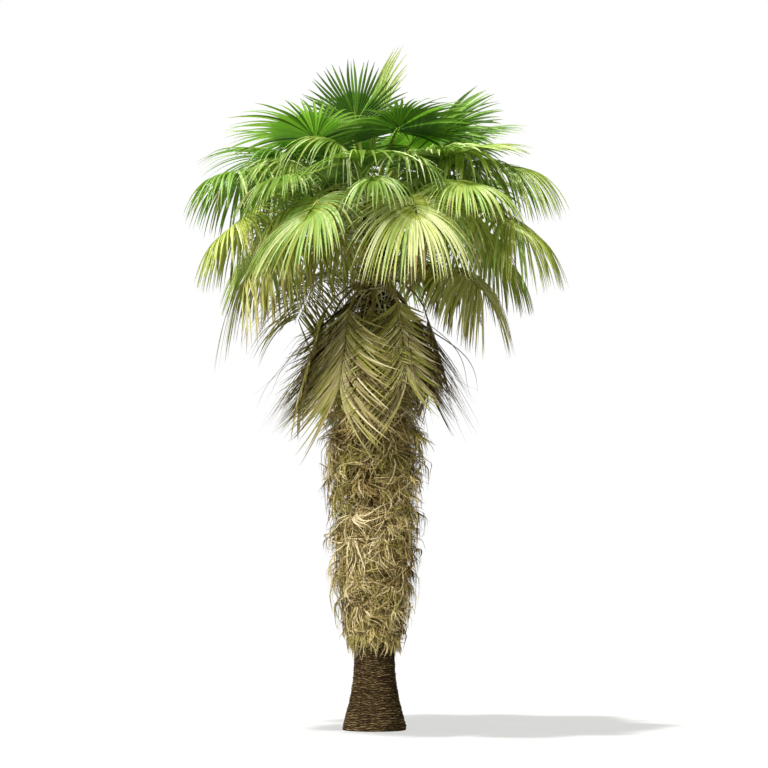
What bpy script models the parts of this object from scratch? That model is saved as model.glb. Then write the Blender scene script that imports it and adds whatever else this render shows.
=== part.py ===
"""A fan palm with a skirt of dead fronds, built whole: trunk, petioles, blades and skirt.

Metres, +Z up. The origin is the centre of the flat cut at ground level. A frond is a petiole that
leaves the trunk and a thin fan blade, cut to its hub between leaflets. The two middle tiers arch
over a wide gap, so there the petiole and the blade are separate bodies that meet at the hub.
"""

import math
import random
from collections import namedtuple

import bmesh
import bpy
from mathutils import Vector
from mathutils.bvhtree import BVHTree

SEED = 7
UP = Vector((0.0, 0.0, 1.0))
GAP = 0.0003

# Trunk: a flare at the ground, a straight taper under the skirt, and a blunt tip in the crown.
TRUNK_SIDES = 24
TRUNK_RADIUS = 0.228
FLARE_WIDTH = 0.141
FLARE_HEIGHT = 0.38
FLARE_POWER = 1.5
TAPER_START = 0.90
TAPER_END = 4.70
NECK_RADIUS = 0.165
FLARE_RINGS = (0.0, 0.1, 0.2, 0.32, 0.45, 0.62)
TIP_RINGS = ((5.2, 0.160), (5.7, 0.150), (6.05, 0.125), (6.25, 0.080))

# Fronds: sizes that every tier shares.
PETIOLE_STATIONS = 5
PETIOLE_BASE_WIDTH = 0.052
PETIOLE_TIP_WIDTH = 0.034
PETIOLE_BASE_DEPTH = 0.034
PETIOLE_TIP_DEPTH = 0.020
PETIOLE_START = 0.02
KEEL_SHARE = 0.6
HUB_RADIUS = 0.075
HUB_DEPTH = 0.014
BACK_HALF_ANGLE = math.asin(PETIOLE_TIP_WIDTH / 2 / HUB_RADIUS)
LEAFLET_DEPTH_SHARE = 0.0105
LEAFLET_STEPS = 20
DROOP_POWER = 1.6
FULL_WIDTH_STEP = 8
WAIST_STEP = 14
FULL_WIDTH_SHARE = 0.84
WAIST_SHARE = 0.42
CLEARANCE = 0.003
LEAFLET_CHANGE = (0.96, 1.02)
# What a leaflet tries where it is in another's way: share of its length, then tilt in degrees.
FITS = (
    (1.0, 0), (1.0, 6), (1.0, -6), (1.0, 12), (1.0, -12), (1.0, 20), (1.0, -20), (0.86, 0),
    (0.86, 14), (0.86, -14), (0.7, 0), (0.7, 20), (0.7, -20), (0.55, 0),
)
SEAT_SAMPLES = 25
SEAT_REACH = 0.6

# A tier of fronds. Heights and lengths in metres, lifts and turns in degrees. stagger is how much
# higher every second frond starts, lift is the rise of the petiole at the trunk and at the hub,
# bend is how far the blade turns down from the petiole, spread is the half angle of the fan and
# droop is how strongly its leaflets hang.
Tier = namedtuple(
    "Tier",
    "name base_z stagger lift petiole bend blade spread leaflets droop split slot azimuths",
)
TIERS = (
    Tier("spear_frond", 6.22, 0.0, (100, 100), 0.34, 19, 1.41, 8, 4, 0.02, False,
         "young_leaf", (0,)),
    Tier("erect_frond", 6.15, -0.10, (54, 70), 0.86, 0, 0.77, 105, 12, 0.06, False, "green_leaf",
         (246, 118)),
    Tier("upper_frond", 6.09, 0.06, (54, 26), 0.94, 4, 1.16, 115, 12, 0.50, False, "green_leaf",
         (216, 288, 352, 54, 148)),
    Tier("spreading_frond", 5.88, -0.20, (48, 20), 1.14, 7, 1.22, 125, 12, 0.95, False,
         "green_leaf", (180, 262, 318, 24, 84, 130)),
    Tier("arching", 5.78, -0.28, (40, 6), 1.58, 16, 1.12, 130, 12, 3.0, True, "yellow_leaf",
         (188, 231, 354, 270, 46, 307, 116)),
    Tier("low", 5.62, 0.03, (28, -12), 1.46, 22, 1.24, 130, 12, 3.6, True, "yellow_leaf",
         (199, 246, 285, 342, 30, 80, 142)),
    Tier("drooping_frond", 5.52, -0.26, (20, -28), 1.12, 18, 1.14, 120, 12, 3.4, False,
         "olive_leaf", (206, 331, 66, 128)),
    Tier("hanging_frond", 5.20, 0.07, (-10, -76), 0.74, -2, 1.30, 66, 10, 1.3, False, "dead_leaf",
         (240, 298, 186, 4, 42, 98, 148)),
)
LIFT_JITTER = 3.0
LENGTH_JITTER = 0.05
ROLL_LEAN = 11.0
ROLL_JITTER = 5.0

# Skirt of dead fronds: the outer envelope as height and radius, cut into tiers and sectors.
SKIRT_ENVELOPE = (
    (0.93, 0.29), (1.2, 0.37), (1.6, 0.44), (2.2, 0.49), (2.8, 0.55), (3.4, 0.59), (3.8, 0.56),
    (4.2, 0.46), (4.5, 0.35), (4.8, 0.25),
)
SKIRT_TIERS = (("skirt_lower", 1.06, 2.72), ("skirt_upper", 2.73, TAPER_END))
SKIRT_SECTORS = 3
SKIRT_STATIONS = 6
SECTOR_GAP = math.radians(0.6)
CORE_INSET = 0.070
CORE_LEAST = 0.030
TUFTS = 48
TUFT_LENGTH = (0.34, 0.52)
TUFT_LIFT = (-74.0, -38.0)
TUFT_SWING = 0.45
TUFT_TWIST = 0.5
TUFT_WIDTH = 0.066
TUFT_ROOT_SHARE = 0.75
TUFT_WIDE_STEP = 10
TUFT_DEPTH = 0.014
TUFT_SUNK = 0.035
TUFT_DROOP = 1.0
TUFT_OVERHANG = 0.15
TUFT_OUTSIDE = 0.06
TUFT_TRIES = 16
ROOT_MARGIN = math.radians(3.0)
ROOT_RISE = 0.04
ROOT_JITTER = 0.04
GOLDEN = (math.sqrt(5.0) - 1.0) / 2.0

COLOURS = {
    "bark": (0.075, 0.050, 0.028),
    "petiole": (0.30, 0.33, 0.10),
    "young_leaf": (0.42, 0.58, 0.17),
    "green_leaf": (0.10, 0.27, 0.05),
    "yellow_leaf": (0.42, 0.48, 0.15),
    "olive_leaf": (0.30, 0.29, 0.08),
    "dead_leaf": (0.34, 0.30, 0.12),
    "straw": (0.40, 0.33, 0.17),
}
ROUGHNESS = {"bark": 0.9, "straw": 0.8, "dead_leaf": 0.75}
LEAF_ROUGHNESS = 0.5

Leaflet = namedtuple("Leaflet", "length tilt")
Sector = namedtuple("Sector", "name start end low high seed")
Frond = namedtuple("Frond", "name tier out across petiole hub along normal blade_length droop")


class Shape:
    """Points and faces of one closed body, gathered before they become a mesh."""

    def __init__(self):
        self.points = []
        self.faces = []

    def add(self, points):
        first = len(self.points)
        self.points.extend(Vector(p) for p in points)
        return list(range(first, len(self.points)))

    def face(self, *corners):
        self.faces.append(corners)

    def walls(self, ring, following):
        """Side faces between two rings of the same number of points."""
        for k in range(len(ring)):
            after = (k + 1) % len(ring)
            self.face(ring[k], ring[after], following[after], following[k])

    def tip(self, ring, point):
        for k in range(len(ring)):
            self.face(ring[k], ring[(k + 1) % len(ring)], point)


class TakenSpace:
    """The bodies placed so far, so that a leaflet that would touch one can be left out."""

    def __init__(self):
        self.taken = []

    @staticmethod
    def measure(shape):
        low = Vector(min(p[k] for p in shape.points) for k in range(3))
        high = Vector(max(p[k] for p in shape.points) for k in range(3))
        return low, high, BVHTree.FromPolygons(shape.points, shape.faces)

    def take(self, shape, owner):
        self.taken.append((*self.measure(shape), owner))

    def touches(self, shape, owner=None):
        """The owner of the first body that shape touches, other than its own, or None."""
        low, high, tree = self.measure(shape)
        for other_low, other_high, other_tree, name in self.taken:
            if name == owner:
                continue
            if any(low[k] > other_high[k] or high[k] < other_low[k] for k in range(3)):
                continue
            if tree.overlap(other_tree):
                return name
        return None


def clear_scene():
    for obj in list(bpy.data.objects):
        bpy.data.objects.remove(obj, do_unlink=True)


def material(slot):
    """The material of one slot, made the first time that it is asked for."""
    found = bpy.data.materials.get(slot)
    if found:
        return found
    made = bpy.data.materials.new(slot)
    made.use_nodes = True
    shader = made.node_tree.nodes["Principled BSDF"]
    shader.inputs["Base Color"].default_value = (*COLOURS[slot], 1.0)
    shader.inputs["Roughness"].default_value = ROUGHNESS.get(slot, LEAF_ROUGHNESS)
    shader.inputs["Metallic"].default_value = 0.0
    return made


def make_object(name, shape, slot, collection=None):
    mesh = bpy.data.meshes.new(name)
    mesh.from_pydata(shape.points, [], shape.faces)
    builder = bmesh.new()
    builder.from_mesh(mesh)
    bmesh.ops.recalc_face_normals(builder, faces=builder.faces)
    builder.to_mesh(mesh)
    builder.free()
    mesh.materials.append(material(slot))
    obj = bpy.data.objects.new(name, mesh)
    (collection or bpy.context.scene.collection).objects.link(obj)
    return obj


def between(low, high, share):
    return low + (high - low) * share


def trunk_radius(z):
    """Corner radius of the trunk from the ground to the top of its straight taper."""
    flare = FLARE_WIDTH * math.exp(-((z / FLARE_HEIGHT) ** FLARE_POWER))
    share = max(0.0, (z - TAPER_START) / (TAPER_END - TAPER_START))
    return between(TRUNK_RADIUS, NECK_RADIUS, share) + (flare if z < TAPER_START else 0.0)


def ring_points(radius, z):
    turns = [2 * math.pi * k / TRUNK_SIDES for k in range(TRUNK_SIDES)]
    return [(radius * math.cos(a), radius * math.sin(a), z) for a in turns]


def trunk_shape():
    shape = Shape()
    heights = [*FLARE_RINGS, TAPER_START, TAPER_END]
    profile = [(z, trunk_radius(z)) for z in heights] + list(TIP_RINGS)
    rings = [shape.add(ring_points(radius, z)) for z, radius in profile]
    for lower, upper in zip(rings, rings[1:]):
        shape.walls(lower, upper)
    shape.face(*reversed(rings[0]))
    shape.face(*rings[-1])
    return shape


def facet_radius(angle, z):
    """Distance from the axis to the trunk's flat facet at that angle, in the straight taper."""
    facet = 2 * math.pi / TRUNK_SIDES
    from_middle = angle % facet - facet / 2
    return trunk_radius(z) * math.cos(facet / 2) / math.cos(from_middle)


def heading(out, lift):
    """Unit direction that rises by lift degrees over the outward direction."""
    rise = math.radians(lift)
    return out * math.cos(rise) + UP * math.sin(rise)


def petiole_ring(centre, along, across, share):
    """Four corners of the petiole's section: a wide top and a narrower keel."""
    width = between(PETIOLE_BASE_WIDTH, PETIOLE_TIP_WIDTH, share)
    depth = between(PETIOLE_BASE_DEPTH, PETIOLE_TIP_DEPTH, share)
    keel = between(KEEL_SHARE, 1.0, share)
    normal = along.cross(across)
    corners = ((-1, 1), (1, 1), (keel, -1), (-keel, -1))
    return [centre + across * (x * width / 2) + normal * (y * depth / 2) for x, y in corners]


def seated(ring, along, trunk_tree):
    """The ring slid back along the petiole until its end face all but rests on the trunk."""
    landed = []
    for corner in ring:
        hit = trunk_tree.ray_cast(corner + along * SEAT_REACH, -along)[0]
        landed.append(hit if hit else corner)
    samples = [k / (SEAT_SAMPLES - 1) for k in range(SEAT_SAMPLES)]
    rooms = []
    for a in samples:
        for b in samples:
            edge = between(landed[0], landed[1], a)
            other = between(landed[3], landed[2], a)
            point = between(edge, other, b)
            hit = trunk_tree.ray_cast(point + along * SEAT_REACH, -along)[0]
            if hit:
                rooms.append((point - hit).dot(along))
    return [corner + along * (2 * GAP - min(rooms)) for corner in landed]


def frond_layout():
    """Every frond with its petiole's line and its blade's frame, from the tiers."""
    fronds = []
    for t, tier in enumerate(TIERS):
        for i, azimuth in enumerate(tier.azimuths):
            rng = random.Random(SEED + 100 * t + i)
            lift_change = rng.uniform(-LIFT_JITTER, LIFT_JITTER)
            stretch = 1.0 + rng.uniform(-LENGTH_JITTER, LENGTH_JITTER)
            roll = math.radians(ROLL_LEAN + rng.uniform(-ROLL_JITTER, ROLL_JITTER))
            if tier.name == "spear_frond":
                lift_change, stretch, roll = 0.0, 1.0, math.radians(90)
            turn = math.radians(azimuth)
            out = Vector((math.cos(turn), math.sin(turn), 0.0))
            across = Vector((-math.sin(turn), math.cos(turn), 0.0))
            base_z = tier.base_z + tier.stagger * (i % 2)
            line, point = [], out * PETIOLE_START + UP * base_z
            step = tier.petiole * stretch / (PETIOLE_STATIONS - 1)
            for k in range(PETIOLE_STATIONS):
                lift = between(*tier.lift, k / (PETIOLE_STATIONS - 1)) + lift_change
                along = heading(out, lift)
                line.append((point.copy(), along))
                point = point + along * step
            hub = line[-1][0] + line[-1][1] * HUB_RADIUS
            tip_along = heading(out, tier.lift[1] + lift_change - tier.bend)
            normal = tip_along.cross(across)
            rolled = across * math.cos(roll) + normal * math.sin(roll)
            name = f"{tier.name}_{i + 1}" if len(tier.azimuths) > 1 else tier.name
            fronds.append(Frond(
                name, tier, out, rolled, line, hub, tip_along, tip_along.cross(rolled),
                tier.blade * stretch, tier.droop,
            ))
    return fronds


def fan_direction(frond, angle):
    """(along, across) of a leaflet that leaves the hub at that angle from the blade's middle."""
    along = frond.along * math.cos(angle) + frond.across * math.sin(angle)
    across = frond.across * math.cos(angle) - frond.along * math.sin(angle)
    return along, across


def leaflet_line(start, along, across, length, droop, wanted):
    """(point, across, normal) at the wanted steps of a line that hangs more towards its tip."""
    frames, point = {}, start.copy()
    for step in range(LEAFLET_STEPS + 1):
        pull = droop * (step / LEAFLET_STEPS) ** DROOP_POWER
        direction = (along - UP * pull).normalized()
        side = (across - direction * across.dot(direction)).normalized()
        if step in wanted:
            frames[step] = (point.copy(), side, direction.cross(side))
        point = point + direction * (length / LEAFLET_STEPS)
    return [frames[step] for step in wanted]


def leaflet_stations(frond, low, high, leaflet, margin=0.0):
    """Section corners of the leaflet between two ring angles, and its tip point."""
    along, across = fan_direction(frond, (low + high) / 2)
    along = along * math.cos(leaflet.tilt) + frond.normal * math.sin(leaflet.tilt)
    wanted = (FULL_WIDTH_STEP, WAIST_STEP, LEAFLET_STEPS)
    frames = leaflet_line(frond.hub, along, across, leaflet.length, frond.droop, wanted)
    spacing = (high - low) * leaflet.length * FULL_WIDTH_STEP / LEAFLET_STEPS
    sections = []
    for (point, side, normal), share in zip(frames[:2], (FULL_WIDTH_SHARE, WAIST_SHARE)):
        half = spacing * share / 2 + margin
        depth = frond.blade_length * LEAFLET_DEPTH_SHARE / 2 + margin
        sections.append([
            point - side * half + normal * depth, point + side * half + normal * depth,
            point + side * half - normal * depth, point - side * half - normal * depth,
        ])
    return sections, frames[2][0]


def ring_corner(frond, angle, depth):
    """Top and bottom points of the hub's rim at that angle."""
    along, _ = fan_direction(frond, angle)
    rim = frond.hub + along * HUB_RADIUS
    return rim + frond.normal * (depth / 2), rim - frond.normal * (depth / 2)


def fan_angles(frond):
    half = math.radians(frond.tier.spread)
    count = frond.tier.leaflets
    return [between(-half, half, k / count) for k in range(count + 1)]


def leaflet_alone(frond, low, high, leaflet, skip_root=False):
    """A leaflet as its own closed body, a little fat, to test the room that it needs."""
    shape = Shape()
    sections, tip = leaflet_stations(frond, low, high, leaflet, CLEARANCE)
    rings = [shape.add(section) for section in sections]
    if not skip_root:
        right = ring_corner(frond, low, HUB_DEPTH + CLEARANCE)
        left = ring_corner(frond, high, HUB_DEPTH + CLEARANCE)
        rings.insert(0, shape.add((right[0], left[0], left[1], right[1])))
    for ring, following in zip(rings, rings[1:]):
        shape.walls(ring, following)
    shape.face(*reversed(rings[0]))
    shape.tip(rings[-1], shape.add([tip])[0])
    return shape


def blade_shape(frond, leaflets, petiole=None):
    """The fan: a hub, the leaflets that aren't None, and the petiole if it is one body."""
    shape = Shape()
    angles = [-math.pi + BACK_HALF_ANGLE, *fan_angles(frond), math.pi - BACK_HALF_ANGLE]
    last = len(angles) - 1
    top, bottom = [], []
    for k, angle in enumerate(angles):
        depth = PETIOLE_TIP_DEPTH if k in (0, last) else HUB_DEPTH
        above, below = ring_corner(frond, angle, depth)
        top.append(above)
        bottom.append(below)
    top, bottom = shape.add(top), shape.add(bottom)
    middle = PETIOLE_TIP_DEPTH / 2
    above, below = shape.add((frond.hub + frond.normal * middle, frond.hub - frond.normal * middle))
    for k in range(len(angles)):
        after = (k + 1) % len(angles)
        shape.face(above, top[k], top[after])
        shape.face(below, bottom[after], bottom[k])
    for k in range(last):
        leaflet = leaflets[k - 1] if 0 < k < last - 1 else None
        root = [top[k], top[k + 1], bottom[k + 1], bottom[k]]
        if leaflet is None:
            shape.face(*root)
            continue
        sections, tip = leaflet_stations(frond, angles[k], angles[k + 1], leaflet)
        rings = [root] + [shape.add(section) for section in sections]
        for ring, following in zip(rings, rings[1:]):
            shape.walls(ring, following)
        shape.tip(rings[-1], shape.add([tip])[0])
    back = [top[0], top[last], bottom[last], bottom[0]]
    if petiole is None:
        shape.face(*back)
        return shape
    rings = [shape.add(ring) for ring in petiole[:-1]] + [back]
    shape.face(*reversed(rings[0]))
    for ring, following in zip(rings, rings[1:]):
        shape.walls(ring, following)
    return shape


def petiole_rings(frond, trunk_tree):
    rings = []
    for k, (point, along) in enumerate(frond.petiole):
        across = UP.cross(frond.out)
        rings.append(petiole_ring(point, along, across, k / (PETIOLE_STATIONS - 1)))
    rings[0] = seated(rings[0], frond.petiole[0][1], trunk_tree)
    return rings


def petiole_shape(rings):
    shape = Shape()
    placed = [shape.add(ring) for ring in rings]
    shape.face(*reversed(placed[0]))
    for ring, following in zip(placed, placed[1:]):
        shape.walls(ring, following)
    shape.face(*placed[-1])
    return shape


def split_petiole(frond, rings):
    """The petiole of a frond whose blade is its own body, stopped just short of the hub."""
    above, below = ring_corner(frond, math.pi - BACK_HALF_ANGLE, PETIOLE_TIP_DEPTH)
    other_above, other_below = ring_corner(frond, -math.pi + BACK_HALF_ANGLE, PETIOLE_TIP_DEPTH)
    back = frond.along * GAP
    end = [other_above - back, above - back, below - back, other_below - back]
    return petiole_shape(rings[:-1] + [end])


def envelope_radius(z):
    """Outer radius of the skirt at a height."""
    for (z0, r0), (z1, r1) in zip(SKIRT_ENVELOPE, SKIRT_ENVELOPE[1:]):
        if z <= z1:
            return between(r0, r1, max(0.0, (z - z0) / (z1 - z0)))
    return SKIRT_ENVELOPE[-1][1]


def core_radius(z):
    return max(envelope_radius(z) - CORE_INSET, trunk_radius(z) + CORE_LEAST)


def core_shape(start, end, low, high):
    """The skirt's solid core in one sector, parallel to the trunk's facets and clear of them."""
    facet = 2 * math.pi / TRUNK_SIDES
    first, last = round(start / facet), round(end / facet)
    angles = [start + SECTOR_GAP, *(k * facet for k in range(first + 1, last)), end - SECTOR_GAP]
    shape, rings = Shape(), []
    for k in range(SKIRT_STATIONS):
        z = between(low, high, k / (SKIRT_STATIONS - 1))
        inner_points = [(facet_radius(a, z) + 2 * GAP, a) for a in angles]
        outer_points = [(core_radius(z), a) for a in reversed(angles)]
        rings.append(shape.add(
            (r * math.cos(a), r * math.sin(a), z) for r, a in inner_points + outer_points
        ))
    count = len(angles)
    for lower, upper in zip(rings, rings[1:]):
        shape.walls(lower, upper)
    for ring, flip in ((rings[0], True), (rings[-1], False)):
        for k in range(count - 1):
            quad = (ring[k], ring[k + 1], ring[2 * count - 2 - k], ring[2 * count - 1 - k])
            shape.face(*(reversed(quad) if flip else quad))
    return shape


def tuft_shape(angle, z, length, lift, swing, twist):
    """One dead leaflet: a three-sided blade rooted in the core and hanging from it."""
    out = Vector((math.cos(angle), math.sin(angle), 0.0))
    side = UP.cross(out)
    along = (heading(out, lift) + side * swing).normalized()
    across = (side - along * side.dot(along)).normalized()
    across = (across + along.cross(across) * twist).normalized()
    root = out * (core_radius(z) - TUFT_SUNK) + UP * z
    wanted = (0, TUFT_WIDE_STEP, LEAFLET_STEPS)
    frames = leaflet_line(root, along, across, length, TUFT_DROOP, wanted)
    shape, rings = Shape(), []
    for (point, wide, normal), share in zip(frames[:2], (TUFT_ROOT_SHARE, 1.0)):
        half = TUFT_WIDTH / 2 * share
        corners = (point - wide * half, point + wide * half, point + normal * TUFT_DEPTH)
        rings.append(shape.add(corners))
    shape.face(*reversed(rings[0]))
    shape.walls(*rings)
    shape.tip(rings[1], shape.add([frames[2][0]])[0])
    return shape


def inside_envelope(shape, floor):
    """True if every point keeps above the floor and near the skirt's envelope."""
    for point in shape.points:
        if point.z < floor:
            return False
        if math.hypot(point.x, point.y) > envelope_radius(point.z) + TUFT_OUTSIDE:
            return False
    return True


def tufts_of(sector, space):
    """Dead leaflets spread evenly over one sector of the skirt, each clear of every other body."""
    rng = random.Random(sector.seed)
    floor = max(SKIRT_ENVELOPE[0][0], sector.low - TUFT_OVERHANG)
    tufts = []
    # Steps of the golden ratio spread the roots over the sector without clumps.
    for k in range(TUFTS):
        for _ in range(TUFT_TRIES):
            share = (k * GOLDEN + rng.uniform(-ROOT_JITTER, ROOT_JITTER)) % 1.0
            height = (k + rng.random()) / TUFTS
            tuft = tuft_shape(
                between(sector.start + ROOT_MARGIN, sector.end - ROOT_MARGIN, share),
                between(sector.low + ROOT_RISE, sector.high - ROOT_RISE, height),
                rng.uniform(*TUFT_LENGTH), rng.uniform(*TUFT_LIFT),
                rng.uniform(-TUFT_SWING, TUFT_SWING), rng.uniform(-TUFT_TWIST, TUFT_TWIST),
            )
            if inside_envelope(tuft, floor) and not space.touches(tuft, sector.name):
                tufts.append(tuft)
                space.take(tuft, sector.name)
                break
    return tufts


def skirt_sectors():
    """The sectors of every tier of the skirt, with the random seed of each."""
    sectors, width = [], 2 * math.pi / SKIRT_SECTORS
    for tier, (prefix, low, high) in enumerate(SKIRT_TIERS):
        for k in range(SKIRT_SECTORS):
            seed = SEED + 1000 + 10 * tier + k
            sectors.append(Sector(f"{prefix}_{k + 1}", k * width, (k + 1) * width, low, high, seed))
    return sectors


def skirt_mass(sector, core, tufts):
    """A sector of the skirt: its core with the dead leaflets fused on by one Boolean union."""
    helpers = bpy.data.collections.new(sector.name + "_tufts")
    bpy.context.scene.collection.children.link(helpers)
    for k, tuft in enumerate(tufts):
        make_object(f"{sector.name}_tuft_{k}", tuft, "straw", helpers)
    mass = make_object(sector.name, core, "straw")
    union = mass.modifiers.new("tufts", "BOOLEAN")
    union.operation = "UNION"
    union.operand_type = "COLLECTION"
    union.collection = helpers
    union.solver = "MANIFOLD"
    graph = bpy.context.evaluated_depsgraph_get()
    fused = bpy.data.meshes.new_from_object(mass.evaluated_get(graph))
    mass.modifiers.clear()
    mass.data = fused
    for tuft in list(helpers.objects):
        bpy.data.objects.remove(tuft, do_unlink=True)
    bpy.data.collections.remove(helpers)


def fitted_leaflets(frond, space):
    """Each leaflet as it fits among the other bodies: whole, tilted, shorter, or None."""
    angles = fan_angles(frond)
    own = TakenSpace()
    leaflets = []
    for k, (low, high) in enumerate(zip(angles, angles[1:])):
        rng = random.Random(SEED + k)
        change = rng.uniform(*LEAFLET_CHANGE)
        chosen = None
        for share, tilt in FITS:
            leaflet = Leaflet(frond.blade_length * share * change, math.radians(tilt))
            free = leaflet_alone(frond, low, high, leaflet, skip_root=True)
            whole = leaflet_alone(frond, low, high, leaflet)
            if not own.touches(free) and not space.touches(whole, frond.name):
                chosen = leaflet
                own.take(free, frond.name)
                break
        leaflets.append(chosen)
    for low, high, leaflet in zip(angles, angles[1:], leaflets):
        if leaflet:
            space.take(leaflet_alone(frond, low, high, leaflet), frond.name)
    return leaflets


def build():
    clear_scene()
    trunk = trunk_shape()
    make_object("trunk", trunk, "bark")
    trunk_tree = BVHTree.FromPolygons(trunk.points, trunk.faces)
    space = TakenSpace()
    space.take(trunk, "trunk")
    fronds = frond_layout()
    rings = {frond.name: petiole_rings(frond, trunk_tree) for frond in fronds}
    for frond in fronds:
        bare = [None] * frond.tier.leaflets
        space.take(blade_shape(frond, bare, rings[frond.name]), frond.name)
    sectors = skirt_sectors()
    cores = [core_shape(part.start, part.end, part.low, part.high) for part in sectors]
    for sector, core in zip(sectors, cores):
        space.take(core, sector.name)
    for frond in fronds:
        leaflets = fitted_leaflets(frond, space)
        if frond.tier.split:
            petiole_name = frond.name.replace("_", "_petiole_")
            petiole = split_petiole(frond, rings[frond.name])
            make_object(petiole_name, petiole, "petiole")
            blade = blade_shape(frond, leaflets)
            make_object(frond.name.replace("_", "_blade_"), blade, frond.tier.slot)
        else:
            whole = blade_shape(frond, leaflets, rings[frond.name])
            make_object(frond.name, whole, frond.tier.slot)
    for sector, core in zip(sectors, cores):
        skirt_mass(sector, core, tufts_of(sector, space))


build()
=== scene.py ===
"""A fan palm with a skirt of dead fronds: its looks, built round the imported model.

Metres, +Z up, seen from -Y. Fronds follow the rule of the part's source: each petiole rises from
the trunk and ends in a hub, and the leaflets of its fan leave the hub and hang towards their tips.
Here each fan has about three to ten times as many leaflets, pleated and joined for the first
part of their length, and old fans turn into feathers with a long rib. Every kind of leaf is one
joined piece, with its tones dealt out frond by frond.
"""

import math
import random
from collections import namedtuple

import bpy
import numpy as np
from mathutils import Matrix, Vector


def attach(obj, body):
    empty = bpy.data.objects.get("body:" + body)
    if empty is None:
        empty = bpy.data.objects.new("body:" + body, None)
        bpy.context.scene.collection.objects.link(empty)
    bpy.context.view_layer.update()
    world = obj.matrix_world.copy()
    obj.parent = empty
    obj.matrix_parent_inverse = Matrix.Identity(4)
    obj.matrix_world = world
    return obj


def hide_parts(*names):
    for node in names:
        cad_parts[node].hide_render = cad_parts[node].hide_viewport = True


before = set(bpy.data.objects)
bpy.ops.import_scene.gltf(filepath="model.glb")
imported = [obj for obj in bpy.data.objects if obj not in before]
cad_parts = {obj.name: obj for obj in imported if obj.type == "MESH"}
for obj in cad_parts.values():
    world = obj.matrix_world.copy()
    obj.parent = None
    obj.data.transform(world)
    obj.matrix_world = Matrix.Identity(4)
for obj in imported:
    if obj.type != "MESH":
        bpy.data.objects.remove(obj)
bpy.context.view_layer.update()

BODY = "root"
SEED = 7
UP = np.array((0.0, 0.0, 1.0))
GOLDEN = math.pi * (3.0 - math.sqrt(5.0))

# Trunk, as in the source. TIP_RINGS holds (height, radius).
TRUNK_RADIUS = 0.228
FLARE_WIDTH = 0.141
FLARE_HEIGHT = 0.38
FLARE_POWER = 1.5
TAPER_START = 0.90
TAPER_END = 4.70
NECK_RADIUS = 0.165
TIP_RINGS = ((4.70, 0.165), (5.2, 0.160), (5.7, 0.150), (6.05, 0.125), (6.25, 0.080))

# Fronds, as in the source.
PETIOLE_STATIONS = 5
PETIOLE_START = 0.02
PETIOLE_BASE_WIDTH, PETIOLE_TIP_WIDTH = 0.052, 0.034
PETIOLE_BASE_DEPTH, PETIOLE_TIP_DEPTH = 0.034, 0.020
HUB_RADIUS = 0.075
DROOP_POWER = 1.6
LIFT_JITTER = 3.0
LENGTH_JITTER = 0.05
ROLL_LEAN = 11.0
ROLL_JITTER = 5.0
# A tier of fronds, in metres and degrees. stagger is how much higher every second frond starts,
# lift the rise of the petiole at the trunk and at the hub, bend how far the blade turns down from
# it, spread the half angle of the fan (a feather has none), droop how strongly its leaflets hang,
# and costa how far its rib runs into it.
Tier = namedtuple(
    "Tier", "name base_z stagger lift petiole bend blade spread leaflets droop azimuths costa"
)
TIERS = (
    Tier("spear_frond", 6.22, 0.0, (100, 100), 0.34, 19, 1.41, 8, 11, 0.02, (0,), 0.05),
    Tier("erect_frond", 6.15, -0.10, (54, 70), 0.86, 0, 0.77, 105, 40, 0.06, (246, 118), 0.06),
    Tier("upper_frond", 6.09, 0.06, (54, 26), 0.94, 4, 1.16, 115, 46, 0.50,
         (216, 288, 352, 54, 148), 0.10),
    Tier("spreading_frond", 5.88, -0.20, (48, 20), 1.14, 7, 1.22, 125, 52, 0.95,
         (180, 262, 318, 24, 84, 130), 0.16),
    Tier("arching", 5.78, -0.28, (40, 6), 1.58, 16, 1.12, 130, 80, 3.0,
         (188, 231, 354, 270, 46, 307, 116), 0.30),
    Tier("low", 5.62, 0.03, (28, -12), 1.46, 22, 1.24, 130, 86, 3.6,
         (199, 246, 285, 342, 30, 80, 142), 0.32),
    Tier("drooping_frond", 5.52, -0.26, (20, -28), 1.12, 18, 1.14, None, 124, 2.4,
         (206, 331, 66, 128), 0.54),
    Tier("hanging_frond", 5.20, 0.07, (-10, -76), 0.74, -2, 1.30, None, 106, 1.1,
         (240, 298, 186, 4, 42, 98, 148), 0.74),
)
# Tiers whose petioles and blades are nodes of their own.
SPLIT_TIERS = ("arching", "low")
# Younger and shaded fronds between those of the source, within the same reach.
INNER_ROLL = 34.0
INNER_TIERS = (
    Tier("crown_inner", 6.00, 0.05, (64, 44), 0.74, 0, 0.88, 115, 44, 0.7,
         (190, 322, 18, 72, 108, 166), 0.08),
    Tier("middle_inner", 5.86, 0.06, (48, 16), 1.10, 8, 1.02, 125, 52, 2.6,
         (208, 250, 289, 327, 2, 60, 98, 134, 172), 0.20),
    Tier("low_inner", 5.68, 0.08, (32, -6), 1.00, 12, 1.02, 125, 52, 3.4,
         (222, 312, 8, 52, 112, 162), 0.22),
    Tier("crown_core", 5.66, 0.10, (66, 24), 0.62, 0, 0.84, 125, 44, 2.2,
         (176, 214, 306, 334, 10, 50, 92, 136), 0.16),
    Tier("drooping_inner", 5.40, 0.10, (14, -40), 0.78, 10, 0.90, None, 64, 2.2, (350,), 0.30),
    Tier("hanging_inner", 4.98, 0.16, (-18, -80), 0.58, -4, 1.02, None, 54, 0.8,
         (214, 268, 324, 346, 22, 70, 122, 168), 0.45),
    Tier("crown_side", 6.04, 0.0, (60, 34), 1.00, 12, 0.94, 38, 24, 0.35, (338,), 0.10),
)
# Blades that stand on edge instead of lying across the petiole, by their turn in degrees.
ON_EDGE = {"spear_frond": 90, "crown_side": 76}
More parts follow.
